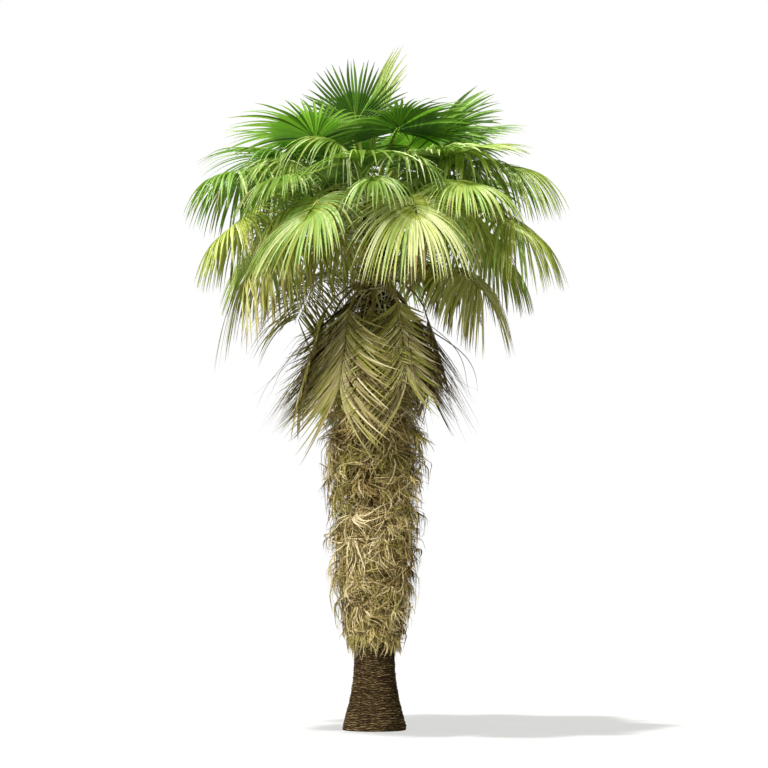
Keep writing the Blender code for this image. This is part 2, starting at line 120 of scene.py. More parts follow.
# What single fronds change of their tier, mostly after the photograph.
SINGLE_TIERS = {
    "spreading_frond_3": {"droop": 0.55, "leaflets": 66},
    "arching_2": {"droop": 2.2}, "arching_6": {"droop": 2.4},
    "arching_3": {"costa": 0.16, "droop": 2.7, "spread": 64, "leaflets": 46},
    "arching_4": {"droop": 2.4, "spread": 84, "leaflets": 44},
    "low_1": {"droop": 3.0}, "low_2": {"droop": 2.5}, "low_4": {"droop": 2.9},
    "low_5": {"droop": 3.0}, "low_6": {"droop": 1.5},
    "drooping_frond_1": {"droop": 3.3},
    "drooping_frond_2": {"costa": 0.22, "droop": 3.4},
    "drooping_frond_3": {"costa": 0.30},
    "hanging_frond_4": {"costa": 0.45},
}
Frond = namedtuple("Frond", "name tier number across line hub along rolled blade")

# (height, radius) of the skirt's outline, and of the neck above it.
SKIRT_ENVELOPE = (
    (0.93, 0.29), (1.2, 0.37), (1.6, 0.44), (2.2, 0.49), (2.8, 0.55), (3.4, 0.59), (3.8, 0.56),
    (4.2, 0.46), (4.5, 0.33), (4.75, 0.215), (5.1, 0.190), (5.5, 0.175),
)

# Leaflets: steps of their centre lines, which of these become rows of points, and shares of their
# length or, for JOINED_WIDTH, of the distance to their neighbours.
FINE_STEPS = 40
ROWS = np.array((1, 3, 6, 10, 13, 16, 19, 22, 25, 28, 31, 34, 37, 40))
DRY_ROWS = (8, 13)
JOINED_WIDTH = 0.52
OPENS_OVER = 0.10
SWELLS_OVER = 0.35
TIP_WIDTH = 0.04
TIP_TONE_FROM = 0.82
THINNEST = 0.0009
FEATHER_SPLIT, FEATHER_GAP = 0.06, 0.1
TWIST = 0.40
# Moves the noise of the leaf's colour from one leaflet to the next.
NOISE_SHIFT = 7.0


# ---- shapes


def unit(v):
    return v / np.maximum(np.linalg.norm(v, axis=-1, keepdims=True), 1e-9)


def dot(a, b):
    return (a * b).sum(axis=-1, keepdims=True)


def between(low, high, share):
    return low + (high - low) * share


def read_at(wanted, stations, values):
    """Points or directions given at some stations along a line, read at the wanted ones."""
    return np.stack([np.interp(wanted, stations, values[:, k]) for k in range(3)], axis=1)


def clamp(values):
    return np.clip(values, 0.0, 1.0)


def ring_turns(sides):
    return np.arange(sides) * 2 * math.pi / sides


def ring_points(radius, turn, z):
    return np.stack(np.broadcast_arrays(radius * np.cos(turn), radius * np.sin(turn), z), axis=-1)


def uv_grid(across, along):
    return np.stack(np.broadcast_arrays(across, along), axis=-1)


class Sheaf:
    """Points and four-sided faces with their tones, gathered before they become one piece."""

    def __init__(self):
        self.points, self.faces, self.tones, self.uvs, self.count = [], [], [], [], 0

    def grid(self, points, tones, uv=(0.0, 0.0), closed=False):
        """Joins rows of points (n, rows, columns, 3) into faces.

        tones is (1,), (n,) or (n, rows - 1). A closed grid joins its last column to its first.
        """
        n, rows, columns = points.shape[:3]
        index = np.arange(n * rows * columns).reshape(n, rows, columns) + self.count
        beside = np.roll(index, -1, axis=2) if closed else index[:, :, 1:]
        here = index if closed else index[:, :, :-1]
        quads = np.stack((here[:, :-1], beside[:, :-1], beside[:, 1:], here[:, 1:]), axis=-1)
        tones = np.asarray(tones)
        tones = tones[:, None] if tones.ndim == 1 else tones
        tones = np.broadcast_to(tones[:, :, None], quads.shape[:3]).reshape(-1)
        self.points.append(points.reshape(-1, 3))
        self.faces.append(quads.reshape(-1, 4))
        self.tones.append(tones)
        self.uvs.append(np.broadcast_to(uv, (n, rows, columns, 2)).reshape(-1, 2))
        self.count += n * rows * columns

    def piece(self, name, materials, nodes=()):
        points = np.concatenate(self.points)
        faces = np.concatenate(self.faces)
        uvs = np.concatenate(self.uvs)
        mesh = bpy.data.meshes.new(name)
        mesh.vertices.add(len(points))
        mesh.vertices.foreach_set("co", points.astype(np.float32).ravel())
        mesh.loops.add(faces.size)
        mesh.loops.foreach_set("vertex_index", faces.astype(np.int32).ravel())
        mesh.polygons.add(len(faces))
        mesh.polygons.foreach_set("loop_start", np.arange(0, faces.size, 4, dtype=np.int32))
        layer = mesh.uv_layers.new(name="leaf")
        layer.data.foreach_set("uv", uvs[faces.ravel()].astype(np.float32).ravel())
        for made in materials:
            mesh.materials.append(made)
        mesh.polygons.foreach_set("material_index", np.concatenate(self.tones).astype(np.int32))
        mesh.polygons.foreach_set("use_smooth", np.full(len(faces), True))
        mesh.update(calc_edges=True)
        mesh.validate()
        obj = bpy.data.objects.new(name, mesh)
        bpy.context.scene.collection.objects.link(obj)
        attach(obj, BODY)
        if nodes:
            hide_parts(*nodes)


def trunk_radius(z):
    """Radius of the trunk's own shape at a height, without its bark."""
    z = np.asarray(z, float)
    flare = FLARE_WIDTH * np.exp(-((np.maximum(z, 0.0) / FLARE_HEIGHT) ** FLARE_POWER))
    share = clamp((z - TAPER_START) / (TAPER_END - TAPER_START))
    straight = between(TRUNK_RADIUS, NECK_RADIUS, share) + flare
    heights, radii = zip(*TIP_RINGS)
    return np.where(z < TAPER_END, straight, np.interp(z, heights, radii))


def envelope_radius(z):
    heights, radii = zip(*SKIRT_ENVELOPE)
    return np.interp(z, heights, radii)


def compass(azimuth):
    """Level directions outwards and sideways at an angle round the trunk."""
    x, y = math.cos(azimuth), math.sin(azimuth)
    return np.array((x, y, 0.0)), np.array((-y, x, 0.0))


def heading(out, lift):
    rise = math.radians(lift)
    return out * math.cos(rise) + UP * math.sin(rise)


def frond_layout():
    """Every frond with its petiole's line and its blade's frame, by the source's rule."""
    fronds = []
    for t, tier in enumerate(TIERS + INNER_TIERS):
        for i, azimuth in enumerate(tier.azimuths):
            rng = random.Random(SEED + 100 * t + i)
            lift_change = rng.uniform(-LIFT_JITTER, LIFT_JITTER)
            stretch = 1.0 + rng.uniform(-LENGTH_JITTER, LENGTH_JITTER)
            roll = math.radians(ROLL_LEAN + rng.uniform(-ROLL_JITTER, ROLL_JITTER))
            if tier in INNER_TIERS:
                roll = math.radians(rng.uniform(-INNER_ROLL, INNER_ROLL))
            if tier.name in ON_EDGE:
                lift_change, stretch, roll = 0.0, 1.0, math.radians(ON_EDGE[tier.name])
            out, across = compass(math.radians(azimuth))
            point = out * PETIOLE_START + UP * (tier.base_z + tier.stagger * (i % 2))
            step = tier.petiole * stretch / (PETIOLE_STATIONS - 1)
            line = []
            for k in range(PETIOLE_STATIONS):
                lift = between(*tier.lift, k / (PETIOLE_STATIONS - 1)) + lift_change
                line.append((point.copy(), heading(out, lift)))
                point = point + line[-1][1] * step
            hub = line[-1][0] + line[-1][1] * HUB_RADIUS
            along = heading(out, tier.lift[1] + lift_change - tier.bend)
            normal = np.cross(along, across)
            rolled = across * math.cos(roll) + normal * math.sin(roll)
            name = f"{tier.name}_{i + 1}" if len(tier.azimuths) > 1 else tier.name
            fronds.append(Frond(
                name, tier._replace(**SINGLE_TIERS.get(name, {})), i, across, line, hub, along,
                rolled, tier.blade * stretch,
            ))
    return fronds


def hang(root, along, across, length, droop, sway, power=DROOP_POWER, free_from=0.0, turning=0.35):
    """Centre lines of many leaflets that hang more towards their tips.

    Returns points, directions and sides, each (n, FINE_STEPS + 1, 3). sway turns a leaflet
    sideways past the share free_from of its length, in full after a further share of turning.
    """
    point, points, directions, sides = root.copy(), [], [], []
    for step in range(FINE_STEPS + 1):
        share = step / FINE_STEPS
        free = min(1.0, max(0.0, share - free_from) / turning)
        pull = droop * share ** power
        direction = unit(along + across * (sway * free)[:, None] - UP * pull[:, None])
        side = unit(across - direction * dot(across, direction))
        points.append(point)
        directions.append(direction)
        sides.append(side)
        point = point + direction * (length / FINE_STEPS)[:, None]
    return np.stack(points, 1), np.stack(directions, 1), np.stack(sides, 1)


def turned(side, normal, angle):
    """Two directions at right angles, turned by an angle in the plane that they span."""
    c, s = np.cos(angle)[..., None], np.sin(angle)[..., None]
    return side * c + normal * s, normal * c - side * s


def blade_strips(sheaf, points, side, normal, half, fold, tones, seeds, lengths):
    """V-shaped strips: half widths and fold heights are (n, rows)."""
    left = points - side * half[..., None] + normal * fold[..., None]
    right = points + side * half[..., None] + normal * fold[..., None]
    along = (np.linspace(0, 1, points.shape[1]) * lengths[:, None])[..., None]
    for edges, ends in (((left, points), (0.0, 0.5)), ((points, right), (0.5, 1.0))):
        uv = uv_grid(ends + seeds[:, None, None] * NOISE_SHIFT, along)
        sheaf.grid(np.stack(edges, axis=2), tones, uv)


def torn(rng, length, share, *left):
    """The lengths, a share of them torn short to between these parts of themselves."""
    broken = rng.random(len(length)) < share
    return np.where(broken, length * rng.uniform(*left, len(length)), length)


# ---- fans of the crown


def leaflets(sheaf, rng, lines, length, main, shades, split, limp, joined=None, full=0.021,
             gap=0.15, fold_at=(1.0, 0.35), mixed=0.3, dry_share=0.0):
    """The strips of one fan along their centre lines, folded to a V.

    Past the share split of their length they are free: gap narrows them there, full is the half
    width that they swell to, and limp how much they twist. joined is their half width before, or
    None to fill the fan. mixed is the share in other tones, dry_share the share with a dry tip.
    """
    points, direction, side = (line[:, ROWS] for line in lines)
    count = len(points)
    normal = np.cross(direction, side)
    share = ROWS / FINE_STEPS
    free = clamp((share - split) / (1.0 - split))
    twist = rng.normal(0.0, TWIST * limp, count)[:, None] * free ** 1.1
    side, normal = turned(side, normal, twist)
    if joined is None:
        # Half the distance to the neighbours, held at its value where the leaflets come apart.
        apart = np.linalg.norm(np.diff(points, axis=0), axis=-1)
        apart = np.concatenate((apart[:1], (apart[1:] + apart[:-1]) / 2, apart[-1:]))
        last = np.searchsorted(share, split)
        joined = apart * JOINED_WIDTH
        joined[:, last:] = joined[:, last - 1:last]
    opened = 1.0 - gap * clamp(free / OPENS_OVER)
    swell = np.maximum(1.0, full * rng.uniform(0.85, 1.15, count) / joined[:, -1])[:, None]
    swell = 1.0 + (swell - 1.0) * clamp(free / SWELLS_OVER)
    taper = (1.0 - free ** 2.4) * (1.0 - TIP_WIDTH) + TIP_WIDTH
    half = np.maximum(joined * opened * swell * taper, THINNEST)
    fold = half * between(*fold_at, clamp(free * 2.0))
    shade = np.where(rng.random(count) < mixed, rng.integers(0, len(shades), count), main)
    zone = np.digitize((share[1:] + share[:-1]) / 2, (split, TIP_TONE_FROM))
    tones = 3 * shade[:, None] + zone
    if dry_share:
        dry = rng.random(count) < dry_share
        tip = np.arange(len(zone)) >= rng.integers(*DRY_ROWS, count)[:, None]
        tones = np.where(dry[:, None] & tip, 3 * len(shades), tones)
    blade_strips(sheaf, points, side, normal, half, fold, tones, rng.random(count), length)


def feather(sheaf, frond, shades, rng, main, start, opening, sizes, full, bend, limp=1.0,
            missing=0.0, turning=0.35, sides=(1.0, 1.0), **look):
    """An old fan with a long rib: leaflets leave both sides of the petiole and of its rib.

    They start at the share start of the petiole and end at the rib's tip. opening is their angle
    to the rib at both ends, sizes their length at the start, in the middle and at the tip as a
    share of the blade's, sides a factor on it for either side, bend how far they turn away from
    the rib, and missing the share that is torn short.
    """
    tier = frond.tier
    count = tier.leaflets
    curve, direction, run, hub_at = petiole_curve(frond, 80, tier.costa)
    place = (np.arange(count) + rng.random(count)) / count
    at = between(start * hub_at, run[-1], place)
    root = read_at(at, run, curve)
    ahead = unit(read_at(at, run, direction))
    aside = unit(frond.rolled - ahead * (ahead @ frond.rolled)[:, None])
    sign = np.where(np.arange(count) % 2, 1.0, -1.0)
    angle = np.radians(between(*opening, place ** 1.5))
    angle = angle * rng.uniform(0.8, 1.15, count)
    along, across = turned(ahead, aside, angle * sign)
    length = frond.blade * np.interp(place, (0.0, 0.55, 1.0), sizes) * rng.uniform(0.9, 1.1, count)
    length = length * np.where(sign < 0, sides[0], sides[1])
    length = torn(rng, length, missing, 0.4, 0.8)
    droop = tier.droop * rng.uniform(0.8, 1.25, count)
    sway = sign * bend + rng.normal(0.0, 0.16 * limp, count)
    lines = hang(root, along, across, length, droop, sway, power=1.2, turning=turning)
    joined = np.full((count, len(ROWS)), full * 0.45)
    leaflets(sheaf, rng, lines, length, main, shades, FEATHER_SPLIT, limp, joined, full,
             FEATHER_GAP, **look)


def fan(sheaf, frond, shades, rng, main, split, limp=1.0, missing=0.0, slope=0.0, lean=0.0,
        turn_to=None, one_side=0.0, size=1.0, **look):
    """One pleated fan of leaflets, joined for the share split of their length, then free.

    The leaflets leave the rib one after another, the outermost at the hub, and each still ends
    where one of the same angle straight from the hub would end. slope lets the outer ones fall
    away from the hub. lean turns a whole fan by chance, turn_to by a set amount. one_side
    shortens the leaflets of one side by up to that share, size all of them, and missing is the
    share that is torn short. Leaflets that leave the hub backwards fall less.
    """
    tier = frond.tier
    count = tier.leaflets
    half_spread = math.radians(tier.spread)
    angle = (np.arange(count) + 0.5) / count * 2 * half_spread - half_spread
    edge_share = np.abs(angle) / half_spread
    reach = frond.blade * (1.0 - 0.20 * edge_share ** 2)
    rib = tier.costa * (1.0 - edge_share ** 1.4)
    ahead, aside = reach * np.cos(angle) - rib, reach * np.sin(angle)
    length = np.hypot(ahead, aside)
    turn = (ahead / length)[:, None], (aside / length)[:, None]
    along = frond.along * turn[0] + frond.rolled * turn[1]
    rear = np.clip((np.abs(angle) - 1.45) / 0.6, 0.0, 1.0)
    along = unit(along - UP * (slope * edge_share * (1.0 - rear))[:, None])
    across = frond.rolled * turn[0] - frond.along * turn[1]
    sag = tier.droop * (rib / frond.blade) ** DROOP_POWER * rib * 0.4
    root = frond.hub + frond.along * rib[:, None] - UP * sag[:, None]
    length = length * size * rng.uniform(0.92, 1.02, count)
    length = length * (1.0 - np.clip(angle / half_spread * one_side * 1.6, 0.0, abs(one_side)))
    length = torn(rng, length, missing, 0.5, 0.85)
    droop = tier.droop * rng.uniform(0.80, 1.22, count) * (1.0 - 0.45 * slope * edge_share)
    droop = droop * (1.0 - 0.55 * rear)
    droop = droop + rng.uniform(0.0, 0.12, count)
    sway = rng.normal(0.0, (0.07 + 0.06 * min(1.0, tier.droop)) * limp, count)
    leaned = rng.uniform(-lean, lean)
    sway = sway + (leaned if turn_to is None else turn_to)
    lines = hang(root, along, across, length, droop, sway, free_from=split)
    leaflets(sheaf, rng, lines, length, main, shades, split, limp, **look)


# ---- petioles

PETIOLE_ROWS, PETIOLE_SIDES = 20, 8
RIB_LENGTH = 0.24
RIB_END_WIDTH = 0.004
# The petiole is widest and deepest where it clasps the trunk.
CLASP_AT = 0.14
CLASP_SPREAD = 0.10
CLASP_WIDTH, CLASP_DEPTH = 0.075, 0.012
TEETH = 20
TEETH_ALONG = (0.28, 0.82)
TEETH_JITTER = 0.006
TOOTH_SIZE = (0.006, 0.011)
TOOTH_HALF_WIDTH = 0.0016
TOOTH_SUNK = 0.002


def petiole_curve(frond, rows, beyond=RIB_LENGTH):
    """Points and directions of the petiole, run on a little way into the fan as its rib."""
    points = np.array([p for p, _ in frond.line] + [frond.hub, frond.hub + frond.along * beyond])
    tangents = np.array([a for _, a in frond.line] + [
        unit(frond.line[-1][1] + frond.along), unit(frond.along - UP * 0.05 * frond.tier.droop)
    ])
    lengths = np.linalg.norm(np.diff(points, axis=0), axis=1)
    stations = np.concatenate(([0.0], np.cumsum(lengths)))
    wanted = np.linspace(0.0, stations[-1], rows)
    k = np.clip(np.searchsorted(stations, wanted, side="right") - 1, 0, len(lengths) - 1)
    t = ((wanted - stations[k]) / lengths[k])[:, None]
    a, b = points[k], points[k + 1]
    ta, tb = tangents[k] * lengths[k][:, None], tangents[k + 1] * lengths[k][:, None]
    curve = (
        a * (2 * t ** 3 - 3 * t ** 2 + 1) + ta * (t ** 3 - 2 * t ** 2 + t)
        + b * (-2 * t ** 3 + 3 * t ** 2) + tb * (t ** 3 - t ** 2)
    )
    return curve, unit(np.gradient(curve, axis=0)), wanted, stations[-2]


def petiole(sheaf, frond, tone):
    """A stalk that is flat above and keeled below, run out into the fan's rib."""
    curve, direction, run, hub_at = petiole_curve(frond, PETIOLE_ROWS)
    normal = unit(np.cross(direction, frond.across))
    share = clamp(run / hub_at)
    past = run - CLASP_AT
    width = between(PETIOLE_BASE_WIDTH, PETIOLE_TIP_WIDTH, share)
    width = width + CLASP_WIDTH * np.exp(-(past / CLASP_SPREAD) ** 2 * 0.9)
    depth = between(PETIOLE_BASE_DEPTH, PETIOLE_TIP_DEPTH, share)
    depth = depth + CLASP_DEPTH * np.exp(-past ** 2 / 0.02)
    beyond = clamp((run - hub_at) / RIB_LENGTH)
    width = width * (1.0 - beyond) + RIB_END_WIDTH * beyond
    depth = depth * (1.0 - beyond) + RIB_END_WIDTH * beyond
    turn = ring_turns(PETIOLE_SIDES)
    x, y = np.cos(turn), np.sin(turn)
    y = np.where(y > 0, y * 0.45, y)
    ring = (
        curve[:, None] + frond.across * (x * width[:, None] / 2)[..., None]
        + normal[:, None] * (y * depth[:, None] * 0.6)[..., None]
    )
    uv = uv_grid(np.arange(PETIOLE_SIDES) / PETIOLE_SIDES * 0.3, run[:, None])
    sheaf.grid(ring[None], (tone,), uv, closed=True)


def teeth(sheaf, frond, tone, rng):
    """Small hooked teeth along both edges of the lower part of a petiole."""
    curve, direction, run, hub_at = petiole_curve(frond, 60)
    at = np.concatenate([np.linspace(*TEETH_ALONG, TEETH)] * 2) * hub_at
    at = at + rng.uniform(-TEETH_JITTER, TEETH_JITTER, 2 * TEETH)
    sign = np.repeat((-1.0, 1.0), TEETH)
    centre = read_at(at, run, curve)
    ahead = unit(read_at(at, run, direction))
    out = frond.across * sign[:, None]
    width = between(PETIOLE_BASE_WIDTH, PETIOLE_TIP_WIDTH, at / hub_at)
    edge = centre + out * (width / 2 - TOOTH_SUNK)[:, None]
    size = rng.uniform(*TOOTH_SIZE, 2 * TEETH)[:, None]
    normal = np.cross(ahead, out) * TOOTH_HALF_WIDTH
    tip = edge + out * size + ahead * size * 0.6
    low, high = edge - ahead * size * 0.5, edge + ahead * size * 0.5
    foot = np.stack((low - normal, low + normal, high + normal, high - normal), 1)
    thin = normal * 0.2
    point = np.stack((tip - thin, tip + thin, tip + thin, tip - thin), 1)
    point = point + np.stack((-ahead, -ahead, ahead, ahead), 1) * 0.0004
    sheaf.grid(np.stack((foot, point), axis=1), (tone,), closed=True)


# ---- dead fans of the skirt

# How far dead strips stay off the trunk's own shape.
OFF_TRUNK = 0.012


def dead_fan(sheaf, rng, azimuth, z, hub_radius, lift, length, spread, count, droop, width,
             tones, room, floor=0.86, steps=10, sweep=0.0, curl=0.4, askew=0.5, wobble=0.05,
             power=1.1):
    """A dead fan against the trunk: shredded strips that curl, held between trunk and room.

    sweep bends every strip to one side, curl each by chance, askew turns the whole fan, and
    wobble makes strips wavy. room gives how far each may reach, as a share of the skirt's radius.
    """
    out, side = compass(azimuth)
    middle = unit(heading(out, lift) + side * rng.normal(0.0, askew))
    cross = unit(side - middle * dot(side, middle))
    angle = np.linspace(-spread, spread, count) + rng.normal(0.0, 0.08, count)
    along, across = turned(middle, cross, angle)
    lengths = length * rng.uniform(0.5, 1.1, count)
    # Short of the floor: what would hang below it is torn off.
    lengths = np.minimum(lengths, np.maximum(0.12, (z - floor) * rng.uniform(0.9, 1.3, count)))
    bow = sweep + rng.normal(0.0, curl, count)
    pull = droop * rng.uniform(0.5, 1.5, count)
    phase = rng.uniform(0.0, 2 * math.pi, (count, 1))
    pace = rng.uniform(2.0, 7.0, (count, 1))
    point = out * hub_radius + UP * z + along * 0.02
    step_length = (lengths / steps)[:, None]
    points, laterals = [], []
    for step in range(steps + 1):
        share = step / steps
        shake = np.sin(phase + share * pace) * wobble * 8.0 * share
        direction = unit(
            along + across * (bow * 2.2 * share)[:, None] + across * shake
            - UP * (pull * share ** power)[:, None]
        )
        points.append(point)
        laterals.append(unit(across - direction * dot(across, direction)))
        point = point + direction * step_length
    points, lateral = np.stack(points, 1), np.stack(laterals, 1)
    share = np.arange(steps + 1) / steps
    radius = np.linalg.norm(points[..., :2], axis=-1)
    outer = envelope_radius(points[..., 2]) * room(count)[:, None]
    inner = trunk_radius(points[..., 2]) + OFF_TRUNK
    soft = outer + (radius - outer) * 0.12
    held = np.maximum(np.where(radius > outer, soft, radius), inner)
    points[..., :2] *= (held / np.maximum(radius, 1e-6))[..., None]
    direction = unit(np.gradient(points, axis=1))
    lateral = unit(lateral - direction * dot(lateral, direction))
    normal = np.cross(direction, lateral)
    twist = rng.normal(0.0, 0.6, count)[:, None] + rng.normal(0.0, 1.3, count)[:, None] * share
    lateral, normal = turned(lateral, normal, twist)
    taper = np.clip(np.minimum(share * 4.0 + 0.4, 1.0) * (1.0 - share ** 2.2), 0.06, 1.0)
    half = width * rng.uniform(0.5, 1.15, count)[:, None] / 2 * taper
    left, right = points - lateral * half[..., None], points + lateral * half[..., None]
    shift = rng.random(count)[:, None, None] * NOISE_SHIFT
    uv = uv_grid((0.0, 1.0) + shift, (share * lengths[:, None])[..., None])
    sheaf.grid(np.stack((left, right), axis=2), tones(count), uv)


# ---- materials


class Shading:
    """A new material and its nodes."""

    def __init__(self, name):
        self.material = bpy.data.materials.new(name)
        self.material.use_nodes = True
        self.tree = self.material.node_tree
        self.tree.nodes.clear()

    def add(self, kind, **inputs):
        """A node with some inputs set; underscores stand for the spaces in their names."""
        node = self.tree.nodes.new("ShaderNode" + kind)
        for name, value in inputs.items():
            node.inputs[name.replace("_", " ")].default_value = value
        return node

    def link(self, source, output, node, name):
        self.tree.links.new(source.outputs[output], node.inputs[name])

    def mottle(self, shader, where, output, stretch, grain, stops):
        """Base colour by stretched noise between two stops (position, colour)."""
        mapping = self.add("Mapping", Scale=stretch)
        self.link(where, output, mapping, "Vector")
        scale, detail, roughness = grain
        noise = self.add("TexNoise", Scale=scale, Detail=detail, Roughness=roughness)
        self.link(mapping, "Vector", noise, "Vector")
        ramp = self.add("ValToRGB")
        for element, (position, colour) in zip(ramp.color_ramp.elements, stops):
            element.position = position
            element.color = (*colour, 1.0)
        self.link(noise, "Fac", ramp, "Fac")
        self.link(ramp, "Color", shader, "Base Color")
        return noise

    def relief(self, shader, height, strength, distance):
        bump = self.add("Bump", Strength=strength, Distance=distance)
        self.link(height, "Fac", bump, "Height")
        self.link(bump, "Normal", shader, "Normal")

    def finish(self, shader, output):
        self.link(shader, output, self.add("OutputMaterial"), "Surface")
        return self.material


def leaf_material(name, colour, roughness=0.38, through=0.30, streak=0.30, specular=0.50, dry=0.0):
    """Leaf tissue: fine lengthwise streaks and veins, satin gloss, and light let through."""
    made = Shading(name)
    shader = made.add("BsdfPrincipled", Roughness=roughness, Specular_IOR_Level=specular)
    uv = made.add("UVMap")
    uv.uv_map = "leaf"
    low = [c * (1.0 - streak) for c in colour]
    high = [min(1.0, c * (1.0 + streak * k)) for c, k in zip(colour, (0.75, 0.72, 1.4))]
    if dry:
        low = [c * (1.0 - dry * k) for c, k in zip(low, (0.2, 0.3, 0.5))]
    stops = ((0.32, low), (0.70, high))
    made.mottle(shader, uv, "UV", (9.0, 2.4, 1.0), (1.6, 4.0, 0.65), stops)
    veins = made.add("TexWave", Scale=2.6, Distortion=1.2)
    made.link(uv, "UV", veins, "Vector")
    made.relief(shader, veins, 0.35, 0.0012)
    red, green, blue = colour
    lit = (min(1.0, red * 1.30), min(1.0, green * 1.45), blue * 0.8, 1.0)
    glow = made.add("BsdfTranslucent", Color=lit)
    mix = made.add("MixShader", Fac=through)
    made.link(shader, "BSDF", mix, 1)
    made.link(glow, "BSDF", mix, 2)
    return made.finish(mix, "Shader")


def bark_material(name, dark, light, stretch=(5.0, 5.0, 42.0)):
    """Bark: level streaks and crumbs of a lighter brown over a darker one, with fine relief."""
    made = Shading(name)
    shader = made.add("BsdfPrincipled", Roughness=0.88, Specular_IOR_Level=0.12)
    stops = ((0.40, dark), (0.66, light))
    noise = made.mottle(shader, made.add("TexCoord"), "Object", stretch, (2.2, 7.0, 0.68), stops)
    made.relief(shader, noise, 0.6, 0.004)
    return made.finish(shader, "BSDF")


def leaf_tones(prefix, shades, through):
    """Three materials for each shade."""
    return [
        leaf_material(f"{prefix}_{k}_{zone}", colour, through=through)
        for k, zones in enumerate(shades, 1)
        for zone, colour in zip(("inner", "middle", "tip"), zones)
    ]


def plain_tones(prefix, colours, *look, **more):
    return [
        leaf_material(f"{prefix}_{k}", tone, *look, **more) for k, tone in enumerate(colours, 1)
    ]


# ---- palettes

# Each shade has a tone for the joined part of the fan, for its leaflets and for their tips.
YOUNG = (((0.34, 0.46, 0.08), (0.46, 0.56, 0.17), (0.55, 0.62, 0.27)),)
GREEN = (
    ((0.123, 0.269, 0.031), (0.146, 0.286, 0.038), (0.269, 0.403, 0.112)),
    ((0.055, 0.138, 0.013), (0.073, 0.16, 0.018), (0.15, 0.23, 0.05)),
    ((0.263, 0.504, 0.073), (0.302, 0.526, 0.101), (0.437, 0.582, 0.19)),
)
SPREADING = (
    ((0.099, 0.198, 0.015), (0.161, 0.273, 0.031), (0.273, 0.384, 0.087)),
    ((0.223, 0.335, 0.037), (0.384, 0.521, 0.124), (0.521, 0.645, 0.236)),
    ((0.062, 0.136, 0.01), (0.105, 0.198, 0.02), (0.186, 0.285, 0.056)),
    ((0.136, 0.273, 0.037), (0.223, 0.397, 0.087), (0.335, 0.508, 0.161)),
    ((0.33, 0.43, 0.09), (0.52, 0.63, 0.23), (0.62, 0.71, 0.35)),
)
ARCHING = (
    ((0.235, 0.325, 0.034), (0.37, 0.459, 0.106), (0.426, 0.493, 0.168)),
    ((0.392, 0.47, 0.118), (0.549, 0.616, 0.28), (0.582, 0.627, 0.325)),
    ((0.101, 0.185, 0.015), (0.19, 0.297, 0.043), (0.269, 0.37, 0.09)),
    ((0.157, 0.291, 0.034), (0.246, 0.409, 0.078), (0.314, 0.459, 0.123)),
)
LOW = (
    ((0.294, 0.347, 0.037), (0.43, 0.483, 0.10), (0.452, 0.473, 0.137)),
    ((0.179, 0.221, 0.017), (0.294, 0.347, 0.053), (0.326, 0.357, 0.074)),
    ((0.462, 0.493, 0.126), (0.588, 0.609, 0.284), (0.598, 0.588, 0.294)),
    ((0.221, 0.336, 0.047), (0.336, 0.473, 0.126), (0.389, 0.483, 0.168)),
)
OLIVE = (
    ((0.32, 0.31, 0.05), (0.40, 0.385, 0.10), (0.30, 0.27, 0.08)),
    ((0.46, 0.45, 0.13), (0.58, 0.565, 0.27), (0.42, 0.39, 0.16)),
    ((0.18, 0.16, 0.018), (0.25, 0.22, 0.034), (0.21, 0.17, 0.04)),
)
DYING = (
    ((0.42, 0.35, 0.13), (0.50, 0.43, 0.20), (0.44, 0.37, 0.17)),
    ((0.24, 0.26, 0.03), (0.38, 0.39, 0.07), (0.33, 0.31, 0.07)),
    ((0.31, 0.29, 0.06), (0.44, 0.41, 0.12), (0.38, 0.34, 0.10)),
    ((0.09, 0.06, 0.02), (0.13, 0.09, 0.03), (0.16, 0.11, 0.04)),
    ((0.64, 0.57, 0.31), (0.78, 0.70, 0.43), (0.68, 0.60, 0.36)),
)
# Dead leaves have one tone for each shade. The darkest brown stands partly for painted shade in
# the skirt's recesses, and the palest is partly painted light.
STRAWS = (
    (0.70, 0.58, 0.29), (0.56, 0.445, 0.185), (0.35, 0.25, 0.09), (0.43, 0.395, 0.105),
    (0.105, 0.062, 0.018), (0.83, 0.72, 0.44), (0.27, 0.235, 0.05),
)
# The neck's pale tones are painted light: far paler than dead leaves, so that the arcs look sunlit
# in the crown's shade.
NECK_WITH_PAINTED_LIGHT = ((0.96, 0.87, 0.68), (0.88, 0.76, 0.54), (0.62, 0.48, 0.28), (0.20, 0.13, 0.06))
WITHERED = ((0.055, 0.036, 0.014), (0.12, 0.085, 0.035), (0.24, 0.19, 0.08))
DRY_TIP = (0.27, 0.20, 0.08)
PETIOLES = ((0.26, 0.31, 0.05), (0.38, 0.40, 0.08), (0.25, 0.18, 0.06))
PETIOLE_TONES = {
    "low": 1, "arching": 1, "middle_inner": 1, "low_inner": 1, "drooping_frond": 1,
    "drooping_inner": 1, "hanging_frond": 2, "hanging_inner": 2,
}
# The fronds whose tone the photograph shows; the others take theirs by chance.
MAIN_SHADES = {
    "erect_frond": {1: 1, 2: 0}, "upper_frond": {1: 2, 2: 1, 3: 0},
    "spreading_frond": {1: 3, 2: 0, 3: 4}, "arching": {1: 3, 2: 2, 3: 0, 4: 2, 6: 0},
    "low": {1: 0, 2: 3, 3: 2, 4: 1}, "drooping_frond": {1: 0, 2: 1},
    "hanging_frond": {1: 0, 2: 2, 4: 3, 5: 3}, "hanging_inner": {4: 3, 5: 3}, "crown_side": {1: 1},
}

# Fronds that are withered to thin dark strips at the end of a bare stalk.
THIN = {"start": 0.98, "full": 0.011, "mixed": 0.15, "missing": 0.4, "limp": 2.0,
        "sizes": (0.36, 0.66, 0.62)}
